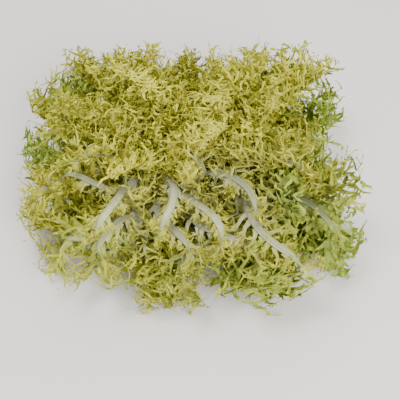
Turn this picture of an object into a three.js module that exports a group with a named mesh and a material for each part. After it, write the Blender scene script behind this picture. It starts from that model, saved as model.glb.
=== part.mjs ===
// Curly endive head, heart up: one stump and the leaves that grow from it in a spiral.
// Millimetres and degrees, +Z up, +X across the head, -Y its front.
// The origin is the centre of the cut face under the stump.
import * as THREE from 'three';

// ---- the skin of the head, which the leaf ends stop a little short of ----
const SKIN_WIDTH = 294;
const SKIN_DEPTH = 234;
const SKIN_HEIGHT = 108;
const SKIN_SQUARENESS = 2.7;
// A leaf is laid out in a round head of this radius, which is then stretched to the width and depth.
const ROUND_RADIUS = 125;
const SIDE_ROUNDNESS = 3;
const FRONT_ROUNDNESS = 2.2;

// ---- the stump ----
const STUMP_RADIUS = 14;
const STUMP_BEVEL = 0.8;
const COLLAR_HEIGHT = 4;
const CORE_TIP_RADIUS = 3;
const CORE_HEIGHT = 41;
const CORE_SIDES = 20;

// ---- the spiral of leaves ----
const LEAF_COUNT = 52;
const TURN_PER_LEAF = 137.508;
const FIRST_LEAF_TURN = 62;
const STEM_RING_RADIUS = 15.4;
const STEM_RING_TAPER = 0.3036;
const STEM_CENTRE_HEIGHT = 5;
const DROOP_REACH = 130;

// The leaves change with age: 0 is the oldest and lowest leaf, 1 the youngest, at the heart.
const AGE_STEPS = [0, 0.15, 0.3, 0.45, 0.6, 0.75, 0.9, 1];
const RISE_AT_STEM = [-4, 11, 25, 38, 51, 63, 75, 84];
const DROOP_AT_REACH = [-9, 3, 11, 19, 26, 31, 27, 0];
const DROOP_AT_FRONT = [-8, 5, 15, 26, 36, 44, 38, 0];
const LENGTH_SHARE = [0.98, 1, 1, 1, 1, 1, 0.96, 0.88];

// ---- one leaf ----
const RIB_HALF_WIDTH = 4;
const HEART_RIB_HALF_WIDTH = 1.9;
const RIB_TIP_HALF_WIDTH = 1.3;
const BLADE_HALF_WIDTH = 38;
const HEART_BLADE_HALF_WIDTH = 21;
const WIDEST_HALF_ANGLE = 28;
const HEART_WIDEST_HALF_ANGLE = 34;
const STEM_HALF_ANGLE = 15;
const BARE_STEM_SHARE = 0.16;
const RIB_THICKNESS = 2.6;
const HEART_RIB_THICKNESS = 1.7;
const RIB_TIP_THICKNESS = 1.1;
const LOBE_TIP_THICKNESS = 0.6;
const NOTCH_THICKNESS = 1.1;
const NOTCH_HALF_WIDTH = 1.2;
const LOBE_LEAN_ROWS = 3;
const HEART_LOBE_LEAN_ROWS = 0.8;
const LAST_LOBE_LEAN = 0.55;
const FRILL_LEAVES = 1.35;
const HEART_FRILL_LEAVES = 0.7;
const TIP_CURL_LEAVES = 1.6;
const HEART_TIP_CURL_LEAVES = 0.8;
const FLOOR_CLEARANCE = 0.15;
const STEPS_ACROSS = 2;
const STEPS_ALONG = 20;

const RADIANS = Math.PI / 180;

// A value read off a list of values given at the age steps.
function atAge(values, age) {
  let step = 0;
  while (step < AGE_STEPS.length - 2 && age > AGE_STEPS[step + 1]) {
    step += 1;
  }
  const share = (age - AGE_STEPS[step]) / (AGE_STEPS[step + 1] - AGE_STEPS[step]);
  return values[step] + (values[step + 1] - values[step]) * share;
}

function blend(from, to, share) {
  return from + (to - from) * share;
}

function smoothStep(from, to, value) {
  const share = Math.min(1, Math.max(0, (value - from) / (to - from)));
  return share * share * (3 - 2 * share);
}

// A repeatable number from 0 to 1 for a leaf and a purpose.
function scatter(leaf, purpose) {
  const value = Math.sin(leaf * 12.9898 + purpose * 78.233) * 43758.5453;
  return value - Math.floor(value);
}

// How much a direction belongs to the front of the head, 0 to 1.
function frontShare(turn) {
  const away = Math.acos(Math.cos((turn + 90) * RADIANS)) / RADIANS;
  return 1 - smoothStep(25, 75, away);
}

// The head is wider than deep and a little squared; a leaf's circle is stretched to suit.
function planStretch(turn, radius) {
  const across = 2 * ROUND_RADIUS * Math.abs(Math.cos(turn * RADIANS)) / SKIN_WIDTH;
  const deep = 2 * ROUND_RADIUS * Math.abs(Math.sin(turn * RADIANS)) / SKIN_DEPTH;
  const sum = Math.pow(across, SKIN_SQUARENESS) + Math.pow(deep, SKIN_SQUARENESS);
  return blend(1, Math.pow(sum, -1 / SKIN_SQUARENESS), smoothStep(10, 75, radius));
}

// The way out from the stem centre to the skin of the head at a rise angle.
function skinReach(rise, turn) {
  const roundness = blend(SIDE_ROUNDNESS, FRONT_ROUNDNESS, frontShare(turn));
  const out = Math.cos(rise * RADIANS) / ROUND_RADIUS;
  const up = Math.sin(rise * RADIANS) / (SKIN_HEIGHT - STEM_CENTRE_HEIGHT);
  return Math.pow(Math.pow(out, roundness) + Math.pow(up, roundness), -1 / roundness);
}

// The rise angle of a leaf of this age at a distance from the stem centre.
function riseAngle(age, turn, reach) {
  const droop = blend(atAge(DROOP_AT_REACH, age), atAge(DROOP_AT_FRONT, age), frontShare(turn));
  return atAge(RISE_AT_STEM, age) - droop * Math.pow(reach / DROOP_REACH, 2);
}

// A point of the leaf's middle surface: how far out, how high and how steep.
function leafPoint(age, turn, reach) {
  const rise = riseAngle(age, turn, reach) * RADIANS;
  const ahead = riseAngle(age, turn, reach + 1) * RADIANS;
  const radius = reach * Math.cos(rise);
  const height = STEM_CENTRE_HEIGHT + reach * Math.sin(rise);
  const aheadRadius = (reach + 1) * Math.cos(ahead);
  const aheadHeight = STEM_CENTRE_HEIGHT + (reach + 1) * Math.sin(ahead);
  return { radius, height, slope: Math.atan2(aheadHeight - height, aheadRadius - radius) };
}

function stemReach(age) {
  const rise = atAge(RISE_AT_STEM, age) * RADIANS;
  return STEM_RING_RADIUS / (Math.cos(rise) + STEM_RING_TAPER * Math.sin(rise));
}

function tipReach(age, turn, leaf) {
  let reach = 100;
  for (let pass = 0; pass < 30; pass += 1) {
    reach = (reach + skinReach(Math.max(0, riseAngle(age, turn, reach)), turn)) / 2;
  }
  return reach * atAge(LENGTH_SHARE, age) * blend(0.93, 1, scatter(leaf, 1));
}

// Half the width of the bare rib along the leaf.
function ribHalfWidth(age, along) {
  return blend(blend(RIB_HALF_WIDTH, HEART_RIB_HALF_WIDTH, age), RIB_TIP_HALF_WIDTH, along);
}

// How far the lobes reach from the middle of the rib.
function lobeReach(age, along) {
  const blade = blend(BLADE_HALF_WIDTH, HEART_BLADE_HALF_WIDTH, smoothStep(0.6, 1, age));
  const growth = smoothStep(BARE_STEM_SHARE * 0.5, 0.58, along);
  const rounding = 1 - 0.78 * smoothStep(0.7, 1, along);
  return ribHalfWidth(age, along) + blade * growth * rounding;
}

// The row of the box that a corner belongs to, counted from the stem.
function rowOf(place, corner) {
  return Math.round((place.getY(corner) + 0.5) * STEPS_ALONG);
}

// Folds the upper and lower face alike, from the rib to the notches on both sides of each lobe.
function foldAtLobes(shape) {
  const place = shape.attributes.position;
  const corners = shape.index.array;
  const startsLobe = (corner) => place.getX(corner) === 0 && rowOf(place, corner) % 2 === 1;
  for (const group of shape.groups.slice(4, 6)) {
    for (let first = group.start; first < group.start + group.count; first += 6) {
      const [a, b, d, , c] = corners.slice(first, first + 6);
      if (startsLobe(a) || startsLobe(c)) corners.set([a, b, c, a, c, d], first);
    }
  }
}

// A leaf is a thick rib with pointed lobes on both sides, every second row of the box a lobe.
function makeLeaf(leaf) {
  const age = leaf / (LEAF_COUNT - 1);
  const ageStep = 1 / (LEAF_COUNT - 1);
  const middleTurn = FIRST_LEAF_TURN + leaf * TURN_PER_LEAF;
  const start = stemReach(age);
  const end = tipReach(age, middleTurn, leaf);
  const sway = blend(-7, 7, scatter(leaf, 2));
  const frillStart = scatter(leaf, 3) * 6;
  // Heart leaves are narrow, so they lean, frill and curl less, and spread over a wider angle.
  const heartShare = smoothStep(0.7, 0.95, age);
  const widest = blend(WIDEST_HALF_ANGLE, HEART_WIDEST_HALF_ANGLE, heartShare);
  const fullLean = blend(LOBE_LEAN_ROWS, HEART_LOBE_LEAN_ROWS, heartShare);
  const fullFrill = blend(FRILL_LEAVES, HEART_FRILL_LEAVES, heartShare);
  const mostCurl = blend(TIP_CURL_LEAVES, HEART_TIP_CURL_LEAVES, heartShare);
  const fullCurl = blend(-mostCurl, mostCurl, scatter(leaf, 9));
  const shape = new THREE.BoxGeometry(2, 1, 2, STEPS_ACROSS, STEPS_ALONG, 1);
  foldAtLobes(shape);
  const place = shape.attributes.position;
  for (let corner = 0; corner < place.count; corner += 1) {
    const side = -Math.sign(place.getX(corner));
    const row = rowOf(place, corner);
    const face = place.getZ(corner);
    const edge = Math.abs(side);
    const lobed = row % 2 === 1 && row / STEPS_ALONG > BARE_STEM_SHARE ? edge : 0;
    const lean = lobed * Math.min(fullLean, (STEPS_ALONG - row) * LAST_LOBE_LEAN);
    const along = Math.min(1, (row + lean) / STEPS_ALONG);
    const length = lobed * blend(0.8, 1, scatter(leaf * 40 + row, 4 + side));
    const notch = ribHalfWidth(age, along) + NOTCH_HALF_WIDTH * smoothStep(0.1, 0.3, along);
    const halfWidth = blend(notch, lobeReach(age, along), length);
    const reach = blend(start, end, along);
    const flat = leafPoint(age, middleTurn, reach);
    const plan = flat.radius * planStretch(middleTurn, flat.radius);
    const limit = blend(STEM_HALF_ANGLE + 7 * age, widest, smoothStep(0.1, 0.3, along));
    const halfAngle = Math.min(halfWidth / Math.max(4, plan) / RADIANS, limit);
    const turn = middleTurn + halfAngle * side + sway * along * along;
    // The lobes stand up and hang down in turn; the rib stays fair.
    const wave = Math.sin(frillStart + row * 2.2 + side * 1.4) * smoothStep(0.2, 0.5, along);
    const frill = fullFrill * wave * lobed;
    const curl = fullCurl * smoothStep(0.76, 1, along);
    const frilled = Math.min(1, age + ageStep * (frill + curl));
    const point = leafPoint(frilled, turn, reach);
    const ribBase = blend(RIB_THICKNESS, HEART_RIB_THICKNESS, age);
    const ribThickness = blend(ribBase, RIB_TIP_THICKNESS, along);
    const edgeThickness = blend(NOTCH_THICKNESS, LOBE_TIP_THICKNESS, lobed);
    const thickness = blend(ribThickness, edgeThickness, edge);
    const radius = point.radius - Math.sin(point.slope) * face * thickness / 2;
    const height = point.height + Math.cos(point.slope) * face * thickness / 2;
    const stretched = radius * planStretch(turn, radius);
    const x = stretched * Math.cos(turn * RADIANS);
    const y = stretched * Math.sin(turn * RADIANS);
    const floor = FLOOR_CLEARANCE + (face > 0 ? thickness * 0.8 : 0);
    place.setXYZ(corner, x, y, Math.max(floor, height));
  }
  return shape;
}

function makeStump() {
  const outline = [
    new THREE.Vector2(0, 0),
    new THREE.Vector2(STUMP_RADIUS - STUMP_BEVEL, 0),
    new THREE.Vector2(STUMP_RADIUS, STUMP_BEVEL),
    new THREE.Vector2(STUMP_RADIUS, COLLAR_HEIGHT),
    new THREE.Vector2(CORE_TIP_RADIUS, CORE_HEIGHT - 2),
    new THREE.Vector2(CORE_TIP_RADIUS * 0.6, CORE_HEIGHT - 0.6),
    new THREE.Vector2(0, CORE_HEIGHT),
  ];
  const shape = new THREE.LatheGeometry(outline, CORE_SIDES);
  shape.rotateX(Math.PI / 2);
  return shape;
}

// ---- kinds of leaf, oldest first ----
const KINDS = [
  { name: 'outer_leaf', until: 0.25, colour: 0x9fb445 },
  { name: 'middle_leaf', until: 0.55, colour: 0xbcc95a },
  { name: 'inner_leaf', until: 0.85, colour: 0xd3d76c },
  { name: 'heart_leaf', until: 1.01, colour: 0xe4e18a },
];

const head = new THREE.Group();
head.name = 'curly_endive_head';

function add(name, shape, colour, roughness) {
  const material = new THREE.MeshStandardMaterial({ color: colour, roughness, metalness: 0 });
  const mesh = new THREE.Mesh(shape, material);
  mesh.name = name;
  head.add(mesh);
}

add('stump', makeStump(), 0xe9e2c4, 0.7);

const counts = {};
for (let leaf = 0; leaf < LEAF_COUNT; leaf += 1) {
  const age = leaf / (LEAF_COUNT - 1);
  const kind = KINDS.find((one) => age < one.until);
  counts[kind.name] = (counts[kind.name] || 0) + 1;
  const number = String(counts[kind.name]).padStart(2, '0');
  add(`${kind.name}_${number}`, makeLeaf(leaf), kind.colour, 0.55);
}

export default head;
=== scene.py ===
import math

import bpy
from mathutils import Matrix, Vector


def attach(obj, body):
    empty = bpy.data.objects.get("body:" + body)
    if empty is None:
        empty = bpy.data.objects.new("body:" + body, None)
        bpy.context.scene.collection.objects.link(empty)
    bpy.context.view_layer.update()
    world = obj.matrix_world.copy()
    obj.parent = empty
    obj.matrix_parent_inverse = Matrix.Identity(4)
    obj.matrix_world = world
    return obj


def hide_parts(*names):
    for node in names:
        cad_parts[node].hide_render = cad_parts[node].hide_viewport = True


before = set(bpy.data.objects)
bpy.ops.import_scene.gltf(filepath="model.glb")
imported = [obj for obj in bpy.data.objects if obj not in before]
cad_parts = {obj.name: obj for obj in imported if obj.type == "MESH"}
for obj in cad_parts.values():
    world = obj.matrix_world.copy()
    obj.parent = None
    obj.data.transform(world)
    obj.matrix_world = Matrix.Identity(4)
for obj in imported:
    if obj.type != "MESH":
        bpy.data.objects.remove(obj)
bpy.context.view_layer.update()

# ---------------------------------------------------------------------------
# The head's own sizes, in millimetres and degrees
# ---------------------------------------------------------------------------
MM = 0.001
SKIN_WIDTH = 294
SKIN_DEPTH = 234
SKIN_HEIGHT = 108
SKIN_SQUARENESS = 2.7
ROUND_RADIUS = 125
# the head is round in plan up to the first radius and squared past the second
SQUARED_BETWEEN = (10, 75)
SIDE_ROUNDNESS = 3
FRONT_ROUNDNESS = 2.2
FRONT_TURN = -90
FRONT_FADES_BETWEEN = (25, 75)

LEAF_COUNT = 52
TURN_PER_LEAF = 137.508
FIRST_LEAF_TURN = 62
STEM_RING_RADIUS = 15.4
STEM_RING_TAPER = 0.3036
STEM_CENTRE_HEIGHT = 5
DROOP_REACH = 130

# a leaf's age runs from 0, the oldest and lowest, to 1, the heart
# every list after the first has a value for each age in it
AGE_STEPS = [0, 0.15, 0.3, 0.45, 0.6, 0.75, 0.9, 1]
RISE_AT_STEM = [-4, 11, 25, 38, 51, 63, 75, 84]
DROOP_AT_REACH = [-9, 3, 11, 19, 26, 31, 27, 0]
DROOP_AT_FRONT = [-8, 5, 15, 26, 36, 44, 38, 0]
LENGTH_SHARE = [0.98, 1, 1, 1, 1, 1, 0.96, 0.88]
SHORTEST_LEAF = 0.93
SETTLING_STEPS = 30
TIP_CURL_LEAVES = 1.6
HEART_TIP_CURL_LEAVES = 0.8
CURL_STARTS = 0.76
MOST_SWAY = 7

RIB_WANDER = 6
SHOWN_RIB_WANDERS = 3
SHOWN_INNER_RIB_WANDERS = 2.2
SLOWEST_WANDER = 0.6
FASTEST_WANDER = 1.1
RIB_STEPS = 32

# ages between which leaves change their looks
OUTER_ENDS = (0.15, 0.45)
TUFTS_END = (0.25, 0.5)
LONG_LOBES_END = (0.35, 0.5)
BROAD_ENDS = (0.4, 0.6)
LOW_ENDS = (0.45, 0.6)
YOUNG_BEGINS = (0.6, 1)
GREEN_FADES = (0.6, 0.9)
HEART_BEGINS = (0.7, 0.95)
SHOWN_RIBS_BEGIN = (0.14, 0.18)
SHOWN_RIBS_END = (0.8, 0.85)
# shares of a rib's length between which it changes
WANDER_BEGINS = (0.1, 0.45)
# on ribs hidden under the frill: where their painted yellow-green tint starts, which stands for the
# light that reaches them through the leaves
HIDDEN_RIB_PAINTED_TINT_BEGINS = (0.05, 0.35)
ARCH_BEGINS = (0.25, 0.5)
GREEN_BEGINS = (0.4, 0.7)
SHOWN_FRILL_BEGINS = (0.5, 1)
STOUT_ENDS = (0.88, 1)

# metres: how far from the middle the frill starts to be pressed, and how much of the rest it keeps
PRESSED_WIDTH = 0.140
PRESSED_DEPTH = 0.110
PRESSED_HEIGHT = 0.101
PRESSED_SQUARENESS = 3.6
PRESSED_GIVE = 0.35

# sides of the head: the direction each one faces and how wide it is
SHOWN_RIBS = (263, 110)
BROAD_GREEN = (-22, 35)
BACK = (90, 50)
BACK_RIGHT = (41, 26)
BACK_LEFT = (138, 28)
GREEN_TUFT_RIGHT = (56, 20)
GREEN_TUFT_LEFT = (170, 14)
LEFT = (215, 75)
FULL_FRONT = (262, 90)
HIGH_RIBS = (332, 24)
LONG_LOBES_FRONT = (287, 32)
LONG_LOBES_LEFT = (226, 34)
LONG_LOBES_RIGHT = (316, 26)
# where ribs stop shorter and where they reach further: the share lost or gained, direction, width
DRAWN_IN = [
    (0.05, 208, 36),
    (0.2, 16, 24),
    (0.07, -4, 20),
    (0.07, 62, 20),
    (0.04, 112, 18),
]
LET_OUT = [(0.1, 318, 14), (0.06, 305, 8), (0.05, 229, 20)]


def blend(low, high, share):
    return low + (high - low) * share


def smooth_step(low, high, value):
    share = min(1.0, max(0.0, (value - low) / (high - low)))
    return share * share * (3 - 2 * share)


def fading(low, high, value):
    """1 up to low, then smoothly down to 0 at high."""
    return 1 - smooth_step(low, high, value)


def at_age(values, age):
    step = 0
    while step < len(AGE_STEPS) - 2 and age > AGE_STEPS[step + 1]:
        step += 1
    share = (age - AGE_STEPS[step]) / (AGE_STEPS[step + 1] - AGE_STEPS[step])
    return blend(values[step], values[step + 1], share)


def scatter(leaf, purpose):
    """A number from 0 to 1 that looks random and is always the same for a leaf and a purpose."""
    value = math.sin(leaf * 12.9898 + purpose * 78.233) * 43758.5453
    return value - math.floor(value)


def leaf_age(leaf):
    return leaf / (LEAF_COUNT - 1)


def leaf_turn(leaf):
    return FIRST_LEAF_TURN + leaf * TURN_PER_LEAF


def degrees_between(turn, other):
    return math.degrees(math.acos(math.cos(math.radians(turn - other))))


def front_share(turn):
    return fading(*FRONT_FADES_BETWEEN, degrees_between(turn, FRONT_TURN))


def side_share(turn, towards, width):
    """How much a direction belongs to one side of the head, 0 to 1."""
    return fading(width * 0.4, width, degrees_between(turn, towards))


def plan_stretch(turn, radius):
    """How much further out a place lies than on a round head: this squares the head's plan."""
    across = 2 * ROUND_RADIUS * abs(math.cos(math.radians(turn))) / SKIN_WIDTH
    deep = 2 * ROUND_RADIUS * abs(math.sin(math.radians(turn))) / SKIN_DEPTH
    total = across ** SKIN_SQUARENESS + deep ** SKIN_SQUARENESS
    return blend(1, total ** (-1 / SKIN_SQUARENESS), smooth_step(*SQUARED_BETWEEN, radius))


def skin_reach(rise, turn):
    """How far the head's skin is from the stem's centre, in a direction that rises and turns so."""
    roundness = blend(SIDE_ROUNDNESS, FRONT_ROUNDNESS, front_share(turn))
    out = math.cos(math.radians(rise)) / ROUND_RADIUS
    up = math.sin(math.radians(rise)) / (SKIN_HEIGHT - STEM_CENTRE_HEIGHT)
    return (out ** roundness + up ** roundness) ** (-1 / roundness)


def rise_angle(age, turn, reach):
    droop = blend(at_age(DROOP_AT_REACH, age), at_age(DROOP_AT_FRONT, age), front_share(turn))
    return at_age(RISE_AT_STEM, age) - droop * (reach / DROOP_REACH) ** 2


def stem_reach(age):
    rise = math.radians(at_age(RISE_AT_STEM, age))
    return STEM_RING_RADIUS / (math.cos(rise) + STEM_RING_TAPER * math.sin(rise))


def tip_reach(age, turn, leaf):
    """Where a leaf's arch meets the skin: going half the way again and again soon settles there."""
    reach = 100.0
    for _ in range(SETTLING_STEPS):
        reach = (reach + skin_reach(max(0.0, rise_angle(age, turn, reach)), turn)) / 2
    return reach * at_age(LENGTH_SHARE, age) * blend(SHORTEST_LEAF, 1, scatter(leaf, 1))


def rib_showing(leaf):
    """How far a leaf's rib lies bare on top of the frill: only ribs that arch over the front do."""
    age = leaf_age(leaf)
    shown = side_share(leaf_turn(leaf), *SHOWN_RIBS)
    return shown * smooth_step(*SHOWN_RIBS_BEGIN, age) * fading(*SHOWN_RIBS_END, age)


def across_at(turn):
    return Vector((-math.sin(turn), math.cos(turn), 0))


def midrib(leaf, shorten, steps):
    """The middle line of a leaf's rib: its points, and the upward direction at each."""
    age = leaf_age(leaf)
    inner = smooth_step(*LOW_ENDS, age)
    shown_waviness = blend(SHOWN_RIB_WANDERS, SHOWN_INNER_RIB_WANDERS, inner)
    waviness = RIB_WANDER * blend(1, shown_waviness, rib_showing(leaf))
    waves = blend(SLOWEST_WANDER, FASTEST_WANDER, scatter(leaf, 41))
    turn_at_stem = leaf_turn(leaf)
    start = stem_reach(age)
    end = tip_reach(age, turn_at_stem, leaf) * shorten
    sway = blend(-MOST_SWAY, MOST_SWAY, scatter(leaf, 2))
    most_curl = blend(TIP_CURL_LEAVES, HEART_TIP_CURL_LEAVES, smooth_step(*HEART_BEGINS, age))
    full_curl = blend(-most_curl, most_curl, scatter(leaf, 9))
    places = []
    for step in range(steps + 2):
        along = step / steps
        wander = math.sin(2 * math.pi * (waves * along + scatter(leaf, 42)))
        wander *= waviness * smooth_step(*WANDER_BEGINS, along)
        reach = blend(start, end, along)
        curled = age + full_curl * smooth_step(CURL_STARTS, 1, along) / (LEAF_COUNT - 1)
        turn = math.radians(turn_at_stem + sway * along * along)
        rise = math.radians(rise_angle(min(1.0, curled), math.degrees(turn), reach))
        radius = reach * math.cos(rise)
        radius *= plan_stretch(math.degrees(turn), radius)
        height = STEM_CENTRE_HEIGHT + reach * math.sin(rise)
        place = Vector((radius * math.cos(turn), radius * math.sin(turn), height))
        places.append((place + across_at(turn) * wander) * MM)
    lifts = []
    for step in range(steps + 1):
        ahead = (places[step + 1] - places[step]).normalized()
        turn = math.radians(turn_at_stem + sway * (step / steps) ** 2)
        lifts.append(ahead.cross(across_at(turn)).normalized())
    return places[:-1], lifts


# ---------------------------------------------------------------------------
# Joining nodes
# ---------------------------------------------------------------------------
class Bench:
    """Puts nodes into one tree and joins them."""

    def __init__(self, tree):
        self.tree = tree

    def feed(self, socket, value):
        """Joins a node's output to a socket, or sets the socket to a plain value."""
        if isinstance(value, bpy.types.NodeSocket):
            self.tree.links.new(value, socket)
        else:
            socket.default_value = value

    def node(self, kind, inputs=None, **settings):
        made = self.tree.nodes.new(kind)
        for name, value in settings.items():
            setattr(made, name, value)
        for name, value in (inputs or {}).items():
            self.feed(made.inputs[name], value)
        return made

    def sum_up(self, operation, *numbers):
        return self.node("ShaderNodeMath", dict(enumerate(numbers)), operation=operation).outputs[0]

    def plus(self, first, second):
        return self.sum_up("ADD", first, second)

    def less(self, first, second):
        return self.sum_up("SUBTRACT", first, second)

    def times(self, first, second):
        return self.sum_up("MULTIPLY", first, second)

    def arrow(self, operation, *arrows):
        made = self.node("ShaderNodeVectorMath", dict(enumerate(arrows)), operation=operation)
        return made.outputs["Value" if operation in ("LENGTH", "DOT_PRODUCT") else "Vector"]

    def scaled(self, arrow, scale):
        inputs = {0: arrow, "Scale": scale}
        return self.node("ShaderNodeVectorMath", inputs, operation="SCALE").outputs["Vector"]

    def unit(self, arrow):
        return self.arrow("NORMALIZE", arrow)

    def swung(self, first, second, angle):
        """The first direction, swung by an angle towards the second."""
        kept = self.scaled(first, self.sum_up("COSINE", angle))
        return self.arrow("ADD", kept, self.scaled(second, self.sum_up("SINE", angle)))

    def apart(self, arrow):
        return self.node("ShaderNodeSeparateXYZ", {0: arrow}).outputs

    def together(self, **parts):
        """A direction or place made from numbers given as x, y and z."""
        inputs = {"xyz".index(name): value for name, value in parts.items()}
        return self.node("ShaderNodeCombineXYZ", inputs).outputs[0]

    def ramp(self, value, low, high, to_low=0.0, to_high=1.0, smooth=True):
        inputs = {"Value": value, "From Min": low, "From Max": high}
        inputs.update({"To Min": to_low, "To Max": to_high})
        kind = "SMOOTHSTEP" if smooth else "LINEAR"
        return self.node("ShaderNodeMapRange", inputs, interpolation_type=kind).outputs[0]

    def chance(self, low, high, seed):
        made = self.node("FunctionNodeRandomValue", {"Seed": seed}, data_type="FLOAT")
        self.feed(made.inputs[2], low)
        self.feed(made.inputs[3], high)
        return made.outputs[1]

    def noise(self, place, scale, detail):
        inputs = {"Vector": place, "Scale": scale, "Detail": detail}
        return self.node("ShaderNodeTexNoise", inputs).outputs

    def read(self, name, kind="FLOAT"):
        made = self.node("GeometryNodeInputNamedAttribute", {"Name": name}, data_type=kind)
        return made.outputs[0]

    def read_arrow(self, name):
        return self.read(name, "FLOAT_VECTOR")

    def keep(self, shape, name, value, kind="FLOAT"):
        inputs = {"Geometry": shape, "Name": name, "Value": value}
        made = self.node("GeometryNodeStoreNamedAttribute", inputs, data_type=kind, domain="POINT")
        return made.outputs[0]

    def keep_arrow(self, shape, name, value):
        return self.keep(shape, name, value, "FLOAT_VECTOR")

    def place_here(self):
        return self.node("GeometryNodeInputPosition").outputs[0]

    def index_here(self):
        return self.node("GeometryNodeInputIndex").outputs[0]

    def share_here(self):
        """How far along its own line a point is, 0 to 1."""
        return self.node("GeometryNodeSplineParameter").outputs["Factor"]

    def moved(self, shape, place):
        inputs = {"Geometry": shape, "Position": place}
        return self.node("GeometryNodeSetPosition", inputs).outputs[0]


def new_tree(name, sizes):
    """An empty Geometry Nodes tree with named inputs: (name, kind, value)."""
    tree = bpy.data.node_groups.new(name, "GeometryNodeTree")
    for way in ("INPUT", "OUTPUT"):
        tree.interface.new_socket(name="Shape", in_out=way, socket_type="NodeSocketGeometry")
    for size_name, kind, value in sizes:
        socket = tree.interface.new_socket(
            name=size_name, in_out="INPUT", socket_type="NodeSocket" + kind
        )
        if value is not None:
            socket.default_value = value
    bench = Bench(tree)
    given = bench.node("NodeGroupInput")
    result = bench.node("NodeGroupOutput")
    return bench, given.outputs, result.inputs[0]


# ---------------------------------------------------------------------------
# Sprouts: the branching that makes lobes from a rib, teeth from a lobe, barbs from a tooth
# ---------------------------------------------------------------------------
SPROUT_SIZES = [
    ("Sprouts", "Int", 12),
    ("Steps", "Int", 8),
    ("Start", "Float", 0.1),
    ("Stop", "Float", 0.97),
    ("Length Share", "Float", 1.0),
    ("Length Spread", "Float", 0.25),
    ("Full By", "Float", 0.4),
    ("Tail Loss", "Float", 0.6),
    ("Lean", "Float", 0.9),
    ("Lean Spread", "Float", 0.25),
    ("Slide", "Float", 0.0),
    ("Forward At Tip", "Float", 0.0),
    ("Tilt", "Float", 0.0),
    ("Tilt Spread", "Float", 0.4),
    ("Curl", "Float", 0.6),
    ("Curl Spread", "Float", 1.2),
    ("Twist", "Float", 0.8),
    ("Taper", "Float", 0.9),
    ("Base Flare", "Float", 0.0),
    ("Set Down", "Float", 0.0),
    ("Turns Down After", "Float", 2.0),
    ("Turns Up After", "Float", 3.0),
    ("Half Width", "Float", 0.0012),
    ("Wobble", "Float", 0.2),
    ("Wobble Size", "Float", 0.01),
    ("Frill Step", "Float", 0.3),
    ("Seed", "Int", 1),
]
# each thing left to chance adds its own number to the tree's seed
DRAWS = {
    "lean": 11.0,
    "tilt": 12.0,
    "size": 13.0,
    "curl": 14.0,
    "tone": 15.0,
    "twist": 16.0,
    "downward": 17.0,
    "slide": 18.0,
}
SHIFT_BY_SEED = (3.1, 1.7, 2.3)
# a sprout's bend is divided by, so a straight one is given a bend too small to see
LEAST_BEND = 0.0123
# shares of a sprout that hangs down: how far its growth turns over, and how much shorter it is
TURNED_OVER = 2.0
HANGING_LOSS = 0.58
# how much of its width a sprout has lost at its tip
TIP_LOSS = 0.92
# metres: strands lower than this are eased upwards, first as lines and then as finished bars
LINE_CLEARANCE = 0.006
BAR_CLEARANCE = 0.002


def above_floor(b, place, ease):
    """Eases anything that would pass through the surface the head rests on to lie just above it."""
    x, y, z = b.apart(place)
    low = b.sum_up("MINIMUM", z, ease)
    eased = b.times(ease, b.sum_up("EXPONENT", b.times(b.less(low, ease), 1 / ease)))
    return b.together(x=x, y=y, z=b.sum_up("MAXIMUM", z, eased))


def sprout_places(b, given):
    """Places along each parent, each knowing which way the parent runs there."""
    trimmed = b.node(
        "GeometryNodeTrimCurve",
        {"Curve": given["Shape"], "Start": given["Start"], "End": given["Stop"]},
        mode="FACTOR",
    )
    spread = b.node(
        "GeometryNodeCurveToPoints",
        {"Curve": trimmed.outputs[0], "Count": given["Sprouts"]},
        mode="COUNT",
    )
    return b.keep_arrow(spread.outputs["Points"], "ahead", spread.outputs["Tangent"])


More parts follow.
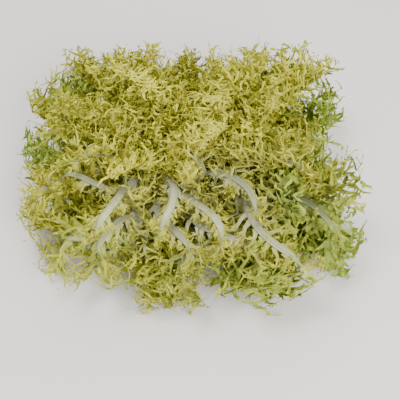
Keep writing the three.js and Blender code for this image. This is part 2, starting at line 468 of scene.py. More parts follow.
def sprout_aims(b, given, points):
    """Where each sprout starts, the way it grows, and its length, bend, twist and tone."""
    seed = given["Seed"]

    def draw(low, high, purpose):
        return b.chance(low, high, b.plus(seed, DRAWS[purpose]))

    def spread(name, purpose):
        return b.times(given[name], draw(-1.0, 1.0, purpose))

    # one side and then the other, square to the parent
    side = b.less(b.times(b.sum_up("MODULO", b.index_here(), 2.0), 2.0), 1.0)
    lift = b.read_arrow("lift")
    ahead = b.read_arrow("ahead")
    across = b.scaled(b.unit(b.arrow("CROSS_PRODUCT", lift, ahead)), side)
    along = b.read("along")
    near_tip = b.ramp(along, 0.75, 1.0)
    lean = b.plus(given["Lean"], spread("Lean Spread", "lean"))
    lean = b.times(lean, b.less(1.0, b.times(given["Forward At Tip"], near_tip)))

    # where a rib lies bare, its sprouts hang down and are shorter
    down_by = b.ramp(along, given["Turns Down After"], b.plus(given["Turns Down After"], 0.1))
    up_by = b.ramp(along, given["Turns Up After"], b.plus(given["Turns Up After"], 0.1))
    downward = b.times(b.less(down_by, up_by), draw(0.65, 1.25, "downward"))
    upright = b.less(1.0, b.times(TURNED_OVER, downward))
    tilt = b.plus(b.times(given["Tilt"], upright), spread("Tilt Spread", "tilt"))
    out = b.swung(ahead, across, lean)
    out = b.unit(b.arrow("ADD", out, b.scaled(lift, tilt)))
    # the sprout's own upward direction, square to the way it grows
    upward = b.arrow("SUBTRACT", lift, b.scaled(out, b.arrow("DOT_PRODUCT", lift, out)))
    bend = b.plus(b.times(given["Curl"], upright), spread("Curl Spread", "curl"))

    # short near the stem, full in the middle, shorter again towards the tip
    filled = b.ramp(along, 0.0, given["Full By"], 0.25, 1.0)
    tail = b.less(1.0, b.times(given["Tail Loss"], b.ramp(along, 0.55, 1.0)))
    size = b.times(filled, tail)
    loss = b.times(given["Length Spread"], draw(0.0, 1.0, "size"))
    size = b.times(size, b.less(1.0, loss))
    size = b.times(size, b.less(1.0, b.times(HANGING_LOSS, downward)))
    length = b.times(b.times(b.read("length"), given["Length Share"]), size)

    # a sprout starts at its parent's edge, a little below the top of it
    parent_half = b.read("half")
    root = b.arrow("ADD", b.place_here(), b.scaled(across, b.times(parent_half, 0.8)))
    root = b.arrow("SUBTRACT", root, b.scaled(lift, b.times(parent_half, given["Set Down"])))
    root = b.arrow("ADD", root, b.scaled(ahead, spread("Slide", "slide")))
    tone = b.plus(b.times(b.read("tone"), 0.6), draw(0.0, 0.4, "tone"))

    points = b.keep_arrow(points, "root", root)
    points = b.keep_arrow(points, "out", out)
    points = b.keep_arrow(points, "upward", b.unit(upward))
    points = b.keep(points, "long", length)
    points = b.keep(points, "bend", b.plus(bend, LEAST_BEND))
    points = b.keep(points, "twist", draw(-1.0, 1.0, "twist"))
    return b.keep(points, "tone", tone)


def sprout_lines(b, given, points):
    """A straight line for each place, then bent, wobbled and twisted by its own numbers."""
    line = b.node("GeometryNodeCurvePrimitiveLine", {"End": (0.001, 0.0, 0.0)})
    line = b.node(
        "GeometryNodeResampleCurve",
        {"Curve": line.outputs[0], "Count": given["Steps"]},
        mode="COUNT",
    )
    copies = b.node("GeometryNodeInstanceOnPoints", {"Points": points, "Instance": line.outputs[0]})
    sprouts = b.node("GeometryNodeRealizeInstances", {"Geometry": copies.outputs[0]}).outputs[0]

    here = b.share_here()
    out = b.read_arrow("out")
    upward = b.read_arrow("upward")
    long = b.read("long")
    # an arc: out along it and up from it, both for a sprout one long
    bend = b.read("bend")
    angle = b.times(bend, here)
    forward = b.sum_up("DIVIDE", b.sum_up("SINE", angle), bend)
    raised = b.sum_up("DIVIDE", b.less(1.0, b.sum_up("COSINE", angle)), bend)
    way = b.arrow("ADD", b.scaled(out, forward), b.scaled(upward, raised))
    place = b.arrow("ADD", b.read_arrow("root"), b.scaled(way, long))

    # the wobble grows from nothing at the root
    in_wobbles = b.scaled(place, b.sum_up("DIVIDE", 1.0, given["Wobble Size"]))
    shifted = b.arrow("ADD", in_wobbles, b.scaled(SHIFT_BY_SEED, given["Seed"]))
    wander = b.noise(shifted, 1.0, 1.0)["Color"]
    wander = b.arrow("SUBTRACT", wander, (0.5, 0.5, 0.5))
    wobble = b.times(b.times(long, given["Wobble"]), b.times(here, 2.0))
    place = b.arrow("ADD", place, b.scaled(wander, wobble))
    sprouts = b.moved(sprouts, above_floor(b, place, LINE_CLEARANCE))

    cosine = b.scaled(upward, b.sum_up("COSINE", angle))
    turned = b.arrow("SUBTRACT", cosine, b.scaled(out, b.sum_up("SINE", angle)))
    beside = b.arrow("CROSS_PRODUCT", out, upward)
    twist = b.times(b.times(given["Twist"], b.read("twist")), here)
    turned = b.swung(turned, beside, twist)

    # each strand climbs the colour ramp towards its tip: partly its own yellowing, partly painted
    # light, with tips brighter than the middles that lie in the frill's shade
    yellowing_and_painted_light = b.plus(b.times(b.sum_up("POWER", here, 1.5), 0.9), 0.1)
    frill = b.plus(b.read("frill"), b.times(given["Frill Step"], yellowing_and_painted_light))
    taper = b.less(1.0, b.times(TIP_LOSS, b.sum_up("POWER", here, given["Taper"])))
    at_root = b.sum_up("POWER", b.less(1.0, here), 5.0)
    flare = b.plus(1.0, b.times(given["Base Flare"], at_root))
    half = b.times(b.times(given["Half Width"], taper), flare)

    sprouts = b.keep_arrow(sprouts, "lift", turned)
    sprouts = b.keep(sprouts, "along", here)
    sprouts = b.keep(sprouts, "length", long)
    sprouts = b.keep(sprouts, "frill", frill)
    return b.keep(sprouts, "half", half)


def sprout_tree():
    b, given, result = new_tree("sprouts", SPROUT_SIZES)
    points = sprout_aims(b, given, sprout_places(b, given))
    b.feed(result, sprout_lines(b, given, points))
    return b.tree


# ---------------------------------------------------------------------------
# A whole leaf: its rib with three generations of sprouts
# ---------------------------------------------------------------------------
LEAF_SIZES = [
    ("Rib Points", "Int", 25),
    ("Lobes", "Int", 32),
    ("Teeth", "Int", 11),
    ("Barbs", "Int", 4),
    ("Bare Rib", "Float", 0.12),
    ("Lobe Half Width", "Float", 0.0016),
    ("Lobe Lean", "Float", 0.95),
    ("Lobe Lean Spread", "Float", 0.3),
    ("Lobe Tilt", "Float", 0.45),
    ("Lobe Curl", "Float", 1.0),
    ("Lobes Turn Down After", "Float", 2.0),
    ("Lobes Turn Up After", "Float", 3.0),
    ("Lobe Wobble", "Float", 0.6),
    ("Lobe Tail Loss", "Float", 0.25),
    ("Bare Lobe", "Float", 0.1),
    ("Tooth Share", "Float", 0.68),
    ("Tooth Half Width", "Float", 0.001),
    ("Tooth Curl", "Float", 1.4),
    ("Barb Half Width", "Float", 0.0007),
    ("Seed", "Int", 1),
    ("Rib Finish", "Material", None),
    ("Blade Finish", "Material", None),
]
TOOTH_SEED = 100.0
BARB_SEED = 200.0
# across a bar: how many sides, how thick for its width, and how far its upper side is hollowed
STRAND_BAR = {"sides": 3, "thickness": 0.13, "channel": 0.0}
RIB_BAR = {"sides": 10, "thickness": 0.55, "channel": -0.22}
BAR_WIDTH = 1.1
STRAND_EDGES = (1.0, 3.0)


def bar(b, line, finish, sides, thickness, channel):
    """A closed flattened bar along each line, as wide as the line's own half width says."""
    line = b.node(
        "GeometryNodeSetCurveNormal",
        {"Curve": line, "Normal": b.read_arrow("lift")},
        mode="FREE",
    )
    section = b.node("GeometryNodeCurvePrimitiveCircle", {"Resolution": sides, "Radius": 1.0})
    section = b.keep(section.outputs[0], "around", b.share_here())
    # the numbers 0, 1, 3 and so on tell a bar's edges apart
    index = b.index_here()
    section = b.keep(section, "edge", b.times(b.times(index, b.plus(index, 1.0)), 0.5))
    size = (thickness, BAR_WIDTH, 1.0)
    half_turn = (0.0, 0.0, math.pi)
    section = b.node(
        "GeometryNodeTransform",
        {"Geometry": section, "Scale": size, "Rotation": half_turn},
    )
    sideways = b.apart(b.place_here())[1]
    hollow = b.times(channel, b.less(1.0, b.times(sideways, sideways)))
    section = b.node(
        "GeometryNodeSetPosition",
        {"Geometry": section.outputs[0], "Offset": b.together(x=hollow)},
    )
    made = b.node(
        "GeometryNodeCurveToMesh",
        {
            "Curve": line.outputs[0],
            "Profile Curve": section.outputs[0],
            "Scale": b.read("half"),
            "Fill Caps": True,
        },
    )
    made = b.node("GeometryNodeSetShadeSmooth", {0: made.outputs[0]})
    inputs = {"Geometry": made.outputs[0], "Material": finish}
    return b.node("GeometryNodeSetMaterial", inputs).outputs[0]


def crisp_edges(b, strands):
    """Keeps a strand's two thin edges crisp and everything else smooth."""
    edge = b.read("edge")
    first, second = (b.sum_up("COMPARE", edge, number, 0.1) for number in STRAND_EDGES)
    inputs = {0: strands, 1: b.plus(first, second), 2: False}
    return b.node("GeometryNodeSetShadeSmooth", inputs, domain="EDGE").outputs[0]


def pressed(b, shape):
    """Presses frill that reaches past the head's outline back towards it."""
    x, y, z = b.apart(above_floor(b, b.place_here(), BAR_CLEARANCE))

    def squared(number, reach):
        share = b.sum_up("ABSOLUTE", b.times(number, 1 / reach))
        return b.sum_up("POWER", share, PRESSED_SQUARENESS)

    share = b.plus(squared(x, PRESSED_WIDTH), squared(y, PRESSED_DEPTH))
    share = b.sum_up("MAXIMUM", b.sum_up("POWER", share, 1 / PRESSED_SQUARENESS), 1.0)
    inward = b.plus(1.0, b.times(PRESSED_GIVE, b.less(share, 1.0)))
    inward = b.sum_up("DIVIDE", inward, share)
    above = b.sum_up("MAXIMUM", b.less(z, PRESSED_HEIGHT), 0.0)
    height = b.less(z, b.times(1 - PRESSED_GIVE, above))
    return b.moved(shape, b.together(x=b.times(x, inward), y=b.times(y, inward), z=height))


def leaf_tree(sprouts):
    b, given, result = new_tree("curly_leaf", LEAF_SIZES)

    def grown(parent, **sizes):
        made = b.node("GeometryNodeGroup", node_tree=sprouts)
        b.feed(made.inputs["Shape"], parent)
        for name, value in sizes.items():
            b.feed(made.inputs[name.replace("_", " ")], value)
        return made.outputs[0]

    def joined(*shapes):
        made = b.node("GeometryNodeJoinGeometry")
        for shape in shapes:
            b.feed(made.inputs[0], shape)
        return made.outputs[0]

    rib = b.node("GeometryNodeMeshToCurve", {"Mesh": given["Shape"]})
    rib = b.node(
        "GeometryNodeResampleCurve",
        {"Curve": rib.outputs[0], "Count": given["Rib Points"]},
        mode="COUNT",
    ).outputs[0]
    lobes = grown(
        rib, Sprouts=given["Lobes"], Steps=8, Start=given["Bare Rib"], Stop=0.99,
        Length_Share=1.0, Length_Spread=0.35, Full_By=0.5, Tail_Loss=given["Lobe Tail Loss"],
        Lean=given["Lobe Lean"], Lean_Spread=given["Lobe Lean Spread"], Slide=0.002,
        Tilt=given["Lobe Tilt"], Tilt_Spread=0.5, Curl=given["Lobe Curl"], Curl_Spread=1.4,
        Twist=1.2, Taper=1.5, Base_Flare=0.35, Set_Down=0.3, Forward_At_Tip=0.65,
        Turns_Down_After=given["Lobes Turn Down After"],
        Turns_Up_After=given["Lobes Turn Up After"], Half_Width=given["Lobe Half Width"],
        Wobble=given["Lobe Wobble"], Wobble_Size=0.012, Frill_Step=0.45, Seed=given["Seed"],
    )
    teeth = grown(
        lobes, Sprouts=given["Teeth"], Steps=6, Start=given["Bare Lobe"], Stop=0.97,
        Length_Share=given["Tooth Share"], Length_Spread=0.45, Full_By=0.2, Tail_Loss=0.55,
        Lean=0.7, Lean_Spread=0.35, Tilt_Spread=0.8, Curl=given["Tooth Curl"], Curl_Spread=1.8,
        Twist=2.0, Taper=1.6, Half_Width=given["Tooth Half Width"], Wobble=0.5,
        Wobble_Size=0.009, Frill_Step=0.35, Seed=b.plus(given["Seed"], TOOTH_SEED),
    )
    barbs = grown(
        teeth, Sprouts=given["Barbs"], Steps=2, Start=0.2, Stop=0.92, Length_Share=0.32,
        Length_Spread=0.4, Full_By=0.2, Tail_Loss=0.3, Lean=0.75, Lean_Spread=0.3,
        Tilt_Spread=0.7, Curl=0.8, Curl_Spread=2.0, Twist=1.0, Taper=1.0,
        Half_Width=given["Barb Half Width"], Wobble=0.5, Wobble_Size=0.003, Frill_Step=0.2,
        Seed=b.plus(given["Seed"], BARB_SEED),
    )
    strands = bar(b, joined(barbs, teeth, lobes), given["Blade Finish"], **STRAND_BAR)
    whole = joined(crisp_edges(b, strands), bar(b, rib, given["Rib Finish"], **RIB_BAR))
    whole = b.node("GeometryNodeRealizeInstances", {"Geometry": pressed(b, whole)})
    b.feed(result, whole.outputs[0])
    return b.tree


# ---------------------------------------------------------------------------
# Finishes
# ---------------------------------------------------------------------------
# how many times a pattern changes in a metre
PATCH_SCALE = 45.0
AGEING_SCALE = 110.0
GRAIN_SCALE = 900.0
GOLDEN = (0.54, 0.41, 0.05)
VEINS_ROUND_A_BAR = 17.0
VEINS_ALONG_A_BAR = 3.0
VEIN_SHIFT = 9.0
LEAF_GLOSS = 0.22


def new_finish(name):
    finish = bpy.data.materials.new(name)
    finish.use_nodes = True
    finish.node_tree.nodes.clear()
    return finish, Bench(finish.node_tree)


def colour_ramp(b, value, stops):
    made = b.node("ShaderNodeValToRGB", {0: value})
    strip = made.color_ramp.elements
    while len(strip) > 1:
        strip.remove(strip[-1])
    strip[0].position = stops[0][0]
    strip[0].color = (*stops[0][1], 1)
    for position, colour in stops[1:]:
        strip.new(position).color = (*colour, 1)
    return made.outputs[0]


def mixed(b, share, first, second):
    made = b.node("ShaderNodeMix", data_type="RGBA", blend_type="MIX")
    for number, value in ((0, share), (6, first), (7, second)):
        b.feed(made.inputs[number], (*value, 1) if isinstance(value, tuple) else value)
    return made.outputs[2]


def carried(b, name):
    """A value that each point of the leaf's own mesh carries."""
    return b.node("ShaderNodeAttribute", attribute_name=name).outputs["Fac"]


def leaf_finish(name, yellow, green, roughness, glow, golden_share):
    """Runs from the rib's colour outwards by frill, and from yellow to green by green."""
    finish, b = new_finish(name)
    frill = carried(b, "frill")
    tone = carried(b, "tone")
    place = b.node("ShaderNodeTexCoord").outputs["Object"]
    patches = b.noise(place, PATCH_SCALE, 3.0)["Fac"]
    ageing = b.noise(place, AGEING_SCALE, 2.0)["Fac"]
    grain = b.noise(place, GRAIN_SCALE, 2.0)["Fac"]

    patchy = b.less(patches, 0.5)
    level = b.plus(frill, b.times(patchy, 0.35))
    greenness = b.ramp(b.plus(carried(b, "green"), b.times(patchy, 0.9)), 0.0, 1.0)
    colour = mixed(b, greenness, colour_ramp(b, level, yellow), colour_ramp(b, level, green))
    in_frill = b.times(b.ramp(frill, 0.2, 0.6), golden_share)
    colour = mixed(b, b.times(b.ramp(ageing, 0.52, 0.68), in_frill), colour, GOLDEN)
    shade = b.ramp(tone, 0.1, 0.9, 0.66, 1.16, smooth=False)
    shade = b.times(shade, b.ramp(grain, 0.3, 0.7, 0.93, 1.05, smooth=False))
    colour = b.scaled(colour, shade)

    # long veins: fine round a bar and drawn out along it, different on every strand
    across = b.together(
        x=b.times(carried(b, "around"), VEINS_ROUND_A_BAR),
        y=b.times(carried(b, "along"), VEINS_ALONG_A_BAR),
        z=b.times(tone, VEIN_SHIFT),
    )
    veins = b.noise(across, 1.0, 1.0)["Fac"]
    colour = b.scaled(colour, b.ramp(veins, 0.3, 0.7, 0.74, 1.14, smooth=False))
    height = b.plus(veins, b.times(grain, 0.4))
    bump = b.node("ShaderNodeBump", {"Height": height, "Strength": 0.4, "Distance": 0.0005})
    surface = b.node(
        "ShaderNodeBsdfPrincipled",
        {
            "Base Color": colour,
            "Roughness": roughness,
            "Specular IOR Level": LEAF_GLOSS,
            "Normal": bump.outputs[0],
        },
    )
    # light comes through a leaf as well as off it
    through = b.node("ShaderNodeBsdfTranslucent", {"Color": colour, "Normal": bump.outputs[0]})
    both = b.node("ShaderNodeMixShader", {0: glow, 1: surface.outputs[0], 2: through.outputs[0]})
    b.node("ShaderNodeOutputMaterial", {"Surface": both.outputs[0]})
    return finish


# colours from the rib, 0, out to the edge of the frill, 1; in the yellow, the darker olive middle
# and the brighter tips are partly the frill's own colour and partly painted shade and light, for
# strand middles lying deep in the frill and tips out in the light
FRILL_YELLOW = [
    (0.0, (0.58, 0.60, 0.43)),
    (0.25, (0.62, 0.62, 0.20)),
    (0.5, (0.61, 0.60, 0.075)),
    (1.0, (0.72, 0.70, 0.08)),
]
FRILL_GREEN = [
    (0.0, (0.56, 0.63, 0.32)),
    (0.3, (0.53, 0.62, 0.14)),
    (0.6, (0.46, 0.56, 0.08)),
    (1.0, (0.44, 0.56, 0.075)),
]
RIB_YELLOW = [
    (0.0, (0.44, 0.44, 0.29)),
    (0.5, (0.45, 0.45, 0.21)),
    (1.0, (0.53, 0.52, 0.11)),
]
RIB_GREEN = [
    (0.0, (0.41, 0.45, 0.27)),
    (0.5, (0.39, 0.47, 0.18)),
    (1.0, (0.40, 0.50, 0.11)),
]


# ---------------------------------------------------------------------------
# Leaves
# ---------------------------------------------------------------------------
# each kind and the age that it ends at
LEAF_KINDS = [
    ("outer_leaf", 0.25),
    ("middle_leaf", 0.55),
    ("inner_leaf", 0.85),
    ("heart_leaf", 1.01),
]
TEETH_ON_A_LOBE = 7
# with the rib hidden, with the rib showing, and with broad lobes: metres, and radians of curl
LOOKS_SIZES = {
    "Lobe Half Width": (0.0015, 0.0017, 0.0025),
    "Tooth Half Width": (0.00115, 0.00095, 0.0019),
    "Barb Half Width": (0.0008, 0.0008, 0.0013),
    "Lobe Curl": (1.3, 1.7, 0.8),
}
# metres: half a rib's width, slim or stout, and how long lobes are, at most
SLIM_AT_STEM = 0.0042
SLIM_HEART_AT_STEM = 0.0020
SLIM_AT_TIP = 0.0006
STOUT_AT_STEM = 0.0035
STOUT_AT_TIP = 0.0026
LOBE_LENGTH = 0.034
HEART_LOBE_LENGTH = 0.022
BROAD_LOBE_LENGTH = 0.042
# metres: how far a bare rib is lifted clear of the frill, inner ones and low ones
RIB_ARCH = 0.012
LOW_RIB_ARCH = 0.017


def leaf_names():
    counts = {}
    names = []
    for leaf in range(LEAF_COUNT):
        kind = next(name for name, until in LEAF_KINDS if leaf_age(leaf) < until)
        counts[kind] = counts.get(kind, 0) + 1
        names.append((f"{kind}_{counts[kind]:02d}", kind))
    return names


def give_sizes(modifier, sizes):
    """Sets a modifier's inputs, which are known by name in the tree and by identifier here."""
    for item in modifier.node_group.interface.items_tree:
        if item.item_type == "SOCKET" and item.in_out == "INPUT" and item.name in sizes:
            modifier[item.identifier] = sizes[item.name]


def right_share(leaf):
    """How much a leaf belongs to the broad green ones at the front right."""
    return side_share(leaf_turn(leaf), *BROAD_GREEN) * fading(*BROAD_ENDS, leaf_age(leaf))


def back_corner(turn):
    return max(side_share(turn, *BACK_RIGHT), 0.75 * side_share(turn, *BACK_LEFT))


def leaf_looks(leaf):
    """What sets a leaf apart: how far its rib shows, how green it is, how broad its lobes are."""
    age = leaf_age(leaf)
    turn = leaf_turn(leaf)
    right = right_share(leaf)
    outer = fading(*OUTER_ENDS, age)
    tuft = max(side_share(turn, *GREEN_TUFT_RIGHT), side_share(turn, *GREEN_TUFT_LEFT))
    tuft *= fading(*TUFTS_END, age)
    left = side_share(turn, *LEFT)
    green = max(blend(0.55, 0.25, left) * outer, 0.8 * right, tuft)
    green += blend(-0.1, 0.35, scatter(leaf, 33))
    return {
        "young": smooth_step(*YOUNG_BEGINS, age),
        "showing": rib_showing(leaf),
        "shown from": blend(0.34, 0.48, scatter(leaf, 34)),
        "shown until": blend(0.84, 0.91, scatter(leaf, 35)),
        "outer": outer,
        "low": fading(*LOW_ENDS, age),
        "corner": back_corner(turn),
        "green": min(1, max(0, green)) * (1 - 0.8 * smooth_step(*GREEN_FADES, age)),
        "broad": max(blend(0.7, 0.3, left) * outer, right),
    }


def rib_share(leaf):
    """How much of its room a rib fills; its frill takes the rest, less at the back corners."""
    turn = leaf_turn(leaf)
    corner = max(back_corner(turn), 0.4 * side_share(turn, *BACK))

    def change(sides):
        return sum(share * side_share(turn, *side) for share, *side in sides)

    return blend(0.88, 1.03, corner) - change(DRAWN_IN) + change(LET_OUT)


def lobe_length(leaf, looks):
    """How long a leaf's lobes may get, in metres, with longer ones where the outline needs them."""
    age = leaf_age(leaf)
    turn = leaf_turn(leaf)
    length = blend(LOBE_LENGTH, HEART_LOBE_LENGTH, looks["young"])
    length = blend(length, BROAD_LOBE_LENGTH, looks["broad"]) * (1 + 0.4 * looks["corner"])
    length *= 1 - 0.06 * looks["showing"] * (1 - right_share(leaf))
    front = 0.3 * side_share(turn, *LONG_LOBES_FRONT)
    left = 0.5 * side_share(turn, *LONG_LOBES_LEFT)
    length *= 1 + max(front, left) * fading(*LONG_LOBES_END, age)
    return length * (1 + 0.4 * side_share(turn, *LONG_LOBES_RIGHT) * smooth_step(0.3, 0.4, age))


def rib_mesh(leaf, node_name, looks):
    """The rib's middle line, carrying what the nodes read at each point."""
    age = leaf_age(leaf)
    places, lifts = midrib(leaf, rib_share(leaf), RIB_STEPS)
    high = blend(RIB_ARCH, LOW_RIB_ARCH, looks["low"])
    high *= 1 + 0.5 * side_share(leaf_turn(leaf), *HIGH_RIBS)
    lands = blend(0.88, 0.93, looks["low"])
    length = lobe_length(leaf, looks)
    names = ("half", "along", "frill", "tone", "length", "green")
    values = {name: [] for name in names}
    for i, lift in enumerate(lifts):
        share = i / RIB_STEPS
        arch = smooth_step(*ARCH_BEGINS, share) * fading(lands, 1, share)
        places[i] = places[i] + lift * (high * arch * looks["showing"])
        slim = blend(blend(SLIM_AT_STEM, SLIM_HEART_AT_STEM, age), SLIM_AT_TIP, share ** 0.5)
        stout = blend(STOUT_AT_STEM, STOUT_AT_TIP, share)
        stout *= 1 - 0.75 * smooth_step(*STOUT_ENDS, share)
        # ribs hidden under the frill move up the colour ramp along their length: a little of it is
        # their own yellowing, most of it is painted light, the yellow-green light that reaches them
        # through the leaves; bare ribs stay pale
        hidden = 0.6 * smooth_step(*HIDDEN_RIB_PAINTED_TINT_BEGINS, share) + 0.2 * share
        shown = 0.3 * smooth_step(*SHOWN_FRILL_BEGINS, share)
        greening = blend(0.35, 1, smooth_step(*GREEN_BEGINS, share))
        here = (
            blend(slim, stout, max(looks["showing"], 0.6 * looks["broad"])),
            share,
            blend(hidden, shown, looks["showing"]),
            scatter(leaf, 21),
            length,
            looks["green"] * greening,
        )
        for name, value in zip(names, here):
            values[name].append(value)
    mesh = bpy.data.meshes.new(node_name + "_midrib")
    mesh.from_pydata(places, [(i, i + 1) for i in range(RIB_STEPS)], [])
    for name in names:
        mesh.attributes.new(name, "FLOAT", "POINT").data.foreach_set("value", values[name])
    upward = mesh.attributes.new("lift", "FLOAT_VECTOR", "POINT")
    upward.data.foreach_set("vector", [part for lift in lifts for part in lift])
    return mesh


def leaf_sizes(leaf, looks):
    """What this leaf's tree is given."""
    showing = looks["showing"]
    broad = looks["broad"]
    sizes = {
        name: blend(blend(hidden, shown, showing), broadest, broad)
        for name, (hidden, shown, broadest) in LOOKS_SIZES.items()
    }
    lobes = blend(blend(45, 36, looks["young"]), 38, showing)
    lobes += 20 * looks["outer"] * side_share(leaf_turn(leaf), *FULL_FRONT)
    tail_loss = blend(0.25, blend(0.5, 0.2, looks["low"]), showing)
    sizes.update({
        "Lobes": int(lobes),
        "Teeth": TEETH_ON_A_LOBE,
        "Barbs": 3 if showing < 0.3 else 2,
        "Tooth Share": blend(0.74, 0.82, showing),
        "Bare Rib": blend(blend(0.34, 0.16, showing), 0.12, looks["young"]),
        "Lobe Lean Spread": blend(0.3, 0.45, showing),
        "Bare Lobe": blend(0.1, 0.42, showing * (1 - 0.6 * broad)),
        "Lobe Tail Loss": blend(tail_loss, 0, max(broad, looks["outer"])),
        "Lobes Turn Down After": blend(2, looks["shown from"], showing),
        "Lobes Turn Up After": blend(3, looks["shown until"], showing),
        "Lobe Tilt": blend(0.45, 0.2, looks["outer"]) + 0.4 * looks["corner"],
        "Seed": leaf * 7 + 3,
    })
    return sizes


def make_leaf(leaf, node_name, tree, finishes):
    looks = leaf_looks(leaf)
    mesh = rib_mesh(leaf, node_name, looks)
    piece = bpy.data.objects.new(node_name + "_leaf", mesh)
    bpy.context.scene.collection.objects.link(piece)
    modifier = piece.modifiers.new("curly leaf", "NODES")
    modifier.node_group = tree
    give_sizes(modifier, {**leaf_sizes(leaf, looks), **finishes})
    bpy.context.view_layer.update()
    depsgraph = bpy.context.evaluated_depsgraph_get()
    plain = bpy.data.meshes.new_from_object(piece.evaluated_get(depsgraph), depsgraph=depsgraph)
    piece.modifiers.remove(modifier)
    piece.data = plain
    plain.name = node_name + "_leaf"
    bpy.data.meshes.remove(mesh)
    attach(piece, "root")
    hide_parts(node_name)


# ---------------------------------------------------------------------------
# Stump
# ---------------------------------------------------------------------------
# up the stump's side, in millimetres: radius, height, and the number of rings since the last
STUMP_SIDE = [
    (13.3, 0.0, 0),
    (13.8, 0.25, 1),
    (14.0, 0.8, 1),
    (14.0, 4.0, 6),
    (9.3, 19.0, 12),
    (4.6, 34.0, 4),
    (3.0, 39.0, 4),
    (1.6, 40.6, 4),
    (0.0, 41.0, 4),
]
STUMP_SIDES = 96
CUT_RINGS = 8
KNIFE_MARK = 0.12
KNIFE_WAVES = 2.5
LUMP_DEPTH = 0.25
LUMPS_ROUND = 5
# scars, in millimetres and degrees: they climb leaf by leaf, and each is a crescent
SCAR_COUNT = 14
SCAR_FIRST_HEIGHT = 1.4
SCAR_CLIMB = 0.42
SCAR_BOW = 0.0011
SCAR_HEIGHT = 1.1
SCAR_DEPTH = 0.7
SCAR_SPAN = (16, 24)
FLESH = [(0.3, (0.60, 0.55, 0.34)), (0.7, (0.70, 0.68, 0.47))]
BROWNED = [(0.3, (0.16, 0.08, 0.03)), (0.7, (0.42, 0.28, 0.12))]
# how many times a pattern changes in a metre, and how many threads run round and up the side
BLOTCH_SCALE = 160.0
CELL_SCALE = 900.0
SPECK_SCALE = 1400.0
THREADS_ROUND = 42.0
THREADS_UP = 60.0
# metres: where the dark ring comes in and goes out, the browned rim, and where the brown stops
RING_INSIDE = (0.0078, 0.0092)
RING_OUTSIDE = (0.0100, 0.0116)
BROWN_RIM = (0.0108, 0.0136)
ABOVE_CUT = (0.0003, 0.0016)


def stump_finish():
    """Cream flesh, browned at the cut, with a ring of darker strands where the leaves are fed."""
    finish, b = new_finish("cut_stump")
    place = b.node("ShaderNodeTexCoord").outputs["Object"]
    x, y, height = b.apart(place)
    flat = b.together(x=x, y=y)
    radius = b.arrow("LENGTH", flat)
    broad = b.noise(place, BLOTCH_SCALE, 3.0)["Fac"]
    fine = b.noise(place, SPECK_SCALE, 2.0)["Fac"]
    cells = b.node("ShaderNodeTexVoronoi", {"Vector": place, "Scale": CELL_SCALE})
    flesh = colour_ramp(b, broad, FLESH)
    browned = colour_ramp(b, b.plus(broad, b.times(b.less(fine, 0.5), 0.6)), BROWNED)
    ring = b.less(b.ramp(radius, *RING_INSIDE), b.ramp(radius, *RING_OUTSIDE))
    strands = b.times(ring, b.ramp(cells.outputs["Distance"], 0.45, 0.2))
    marked = b.plus(b.ramp(radius, *BROWN_RIM), strands)
    stain = b.ramp(b.plus(broad, b.times(marked, 0.35)), 0.42, 0.8)
    at_cut = b.less(1.0, b.ramp(height, *ABOVE_CUT))
    brown_share = b.times(at_cut, b.plus(0.25, b.times(stain, 0.7)))
    colour = mixed(b, brown_share, flesh, browned)
    # fine threads that run up the side
    round_it = b.scaled(b.unit(flat), THREADS_ROUND)
    threads = b.arrow("ADD", round_it, b.together(z=b.times(height, THREADS_UP)))
    threads = b.noise(threads, 1.0, 2.0)["Fac"]
    colour = b.scaled(colour, b.ramp(threads, 0.3, 0.7, 0.88, 1.06, smooth=False))
    bump = b.node(
        "ShaderNodeBump",
        {"Height": b.plus(threads, b.times(fine, 0.6)), "Strength": 0.5, "Distance": 0.0004},
    )
    surface = b.node(
        "ShaderNodeBsdfPrincipled",
        {"Base Color": colour, "Roughness": 0.5, "Normal": bump.outputs[0]},
    )
    b.node("ShaderNodeOutputMaterial", {"Surface": surface.outputs[0]})
    return finish


def stump_rings():
    """Radius and height of every ring of the surface, from the middle of the cut to the top."""
    rings = []
    for step in range(1, CUT_RINGS + 1):
        share = step / CUT_RINGS
        knife_marks = KNIFE_MARK * (1 + math.cos(2 * KNIFE_WAVES * math.pi * share))
        rings.append((STUMP_SIDE[0][0] * share, knife_marks * (1 - share ** 6)))
    for (low_radius, low, _), (high_radius, high, steps) in zip(STUMP_SIDE, STUMP_SIDE[1:]):
        for step in range(1, steps + 1):
            share = step / steps
            rings.append((blend(low_radius, high_radius, share), blend(low, high, share)))
    return rings[:-1]


def scar_at(turn, height):
    """How deep the nearest leaf scar is: one crescent under each leaf, close-set on the collar."""
    deepest = 0
    for leaf in range(SCAR_COUNT):
        away = degrees_between(turn, leaf_turn(leaf))
        level = SCAR_FIRST_HEIGHT + SCAR_CLIMB * leaf + SCAR_BOW * away * away
        inside = fading(*SCAR_SPAN, away) * max(0, 1 - abs(height - level) / SCAR_HEIGHT)
        deepest = max(deepest, inside)
    return deepest


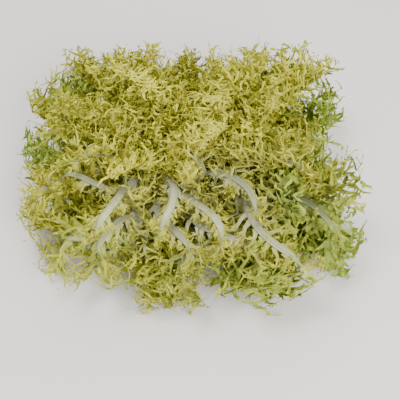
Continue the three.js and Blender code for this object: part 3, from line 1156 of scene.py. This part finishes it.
def make_stump():
    rings = stump_rings()
    corners = [(0, 0, rings[0][1] * MM)]
    for radius, height in rings:
        for side in range(STUMP_SIDES):
            turn = 360 * side / STUMP_SIDES
            lumps = LUMP_DEPTH * math.sin(math.radians(LUMPS_ROUND * turn) + 0.3 * height)
            lumps *= smooth_step(0.5, 3, height)
            scars = SCAR_DEPTH * scar_at(turn, height) * smooth_step(0.4, 1, height)
            reach = (radius - scars + lumps) * MM
            x = reach * math.cos(math.radians(turn))
            y = reach * math.sin(math.radians(turn))
            corners.append((x, y, height * MM))
    corners.append((0, 0, STUMP_SIDE[-1][1] * MM))
    faces = []
    for side in range(STUMP_SIDES):
        after = (side + 1) % STUMP_SIDES
        faces.append((0, 1 + after, 1 + side))
        for ring in range(len(rings) - 1):
            low = 1 + ring * STUMP_SIDES
            high = low + STUMP_SIDES
            faces.append((low + side, low + after, high + after, high + side))
        last = 1 + (len(rings) - 1) * STUMP_SIDES
        faces.append((last + side, last + after, len(corners) - 1))
    mesh = bpy.data.meshes.new("stump_body")
    mesh.from_pydata(corners, [], faces)
    mesh.materials.append(stump_finish())
    mesh.polygons.foreach_set("use_smooth", [True] * len(mesh.polygons))
    piece = bpy.data.objects.new("stump_body", mesh)
    bpy.context.scene.collection.objects.link(piece)
    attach(piece, "root")
    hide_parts("stump")


def make_head():
    make_stump()
    finishes = {
        "Rib Finish": leaf_finish(
            "white_rib", RIB_YELLOW, RIB_GREEN, roughness=0.3, glow=0.2, golden_share=0.15
        ),
        "Blade Finish": leaf_finish(
            "curly_frill", FRILL_YELLOW, FRILL_GREEN, roughness=0.42, glow=0.34, golden_share=0.45
        ),
    }
    tree = leaf_tree(sprout_tree())
    for leaf, (node_name, kind) in enumerate(leaf_names()):
        make_leaf(leaf, node_name, tree, finishes)


# ---------------------------------------------------------------------------
# Stage, in metres and watts
# ---------------------------------------------------------------------------
FLOOR_REACH = 3.0
FLOOR_COLOUR = (0.68, 0.65, 0.61, 1)
WORLD_LIGHT = 0.8
# name, place, size, power
LIGHTS = [
    ("key_light", (-0.35, 0.1, 1.1), 0.42, 11),
    ("fill_light", (0.6, -0.9, 0.8), 0.9, 30),
    ("back_light", (0.2, 0.9, 0.9), 0.8, 6),
]
LIT_POINT = Vector((0, 0, 0.05))
VIEWED_POINT = Vector((0.0085, -0.003, 0.0))
VIEW_ELEVATION = 55
VIEW_DISTANCE = 0.62
LENS = 64


def point_at(item, target):
    item.rotation_euler = (target - item.location).to_track_quat("-Z", "Y").to_euler()


def make_floor():
    mesh = bpy.data.meshes.new("floor")
    far = FLOOR_REACH
    corners = [(-far, -far, 0), (far, -far, 0), (far, far, 0), (-far, far, 0)]
    mesh.from_pydata(corners, [], [(0, 1, 2, 3)])
    floor = bpy.data.objects.new("floor", mesh)
    bpy.context.scene.collection.objects.link(floor)
    finish, b = new_finish("pale_floor")
    inputs = {"Base Color": FLOOR_COLOUR, "Roughness": 0.7}
    surface = b.node("ShaderNodeBsdfPrincipled", inputs)
    b.node("ShaderNodeOutputMaterial", {"Surface": surface.outputs[0]})
    mesh.materials.append(finish)


def make_lights():
    world = bpy.data.worlds.new("studio")
    bpy.context.scene.world = world
    world.use_nodes = True
    background = world.node_tree.nodes["Background"]
    background.inputs[0].default_value = (1, 1, 1, 1)
    background.inputs[1].default_value = WORLD_LIGHT
    for name, place, size, power in LIGHTS:
        light = bpy.data.lights.new(name, "AREA")
        light.size = size
        light.energy = power
        lamp = bpy.data.objects.new(name, light)
        lamp.location = place
        point_at(lamp, LIT_POINT)
        bpy.context.scene.collection.objects.link(lamp)


def make_camera():
    camera = bpy.data.cameras.new("camera")
    camera.sensor_width = 36
    camera.sensor_fit = "HORIZONTAL"
    camera.lens = LENS
    camera.clip_start = 0.01
    eye = bpy.data.objects.new("camera", camera)
    elevation = math.radians(VIEW_ELEVATION)
    away = Vector((0, -math.cos(elevation), math.sin(elevation)))
    eye.location = VIEWED_POINT + VIEW_DISTANCE * away
    point_at(eye, VIEWED_POINT)
    bpy.context.scene.collection.objects.link(eye)
    bpy.context.scene.camera = eye


make_camera()
make_head()
make_floor()
make_lights()
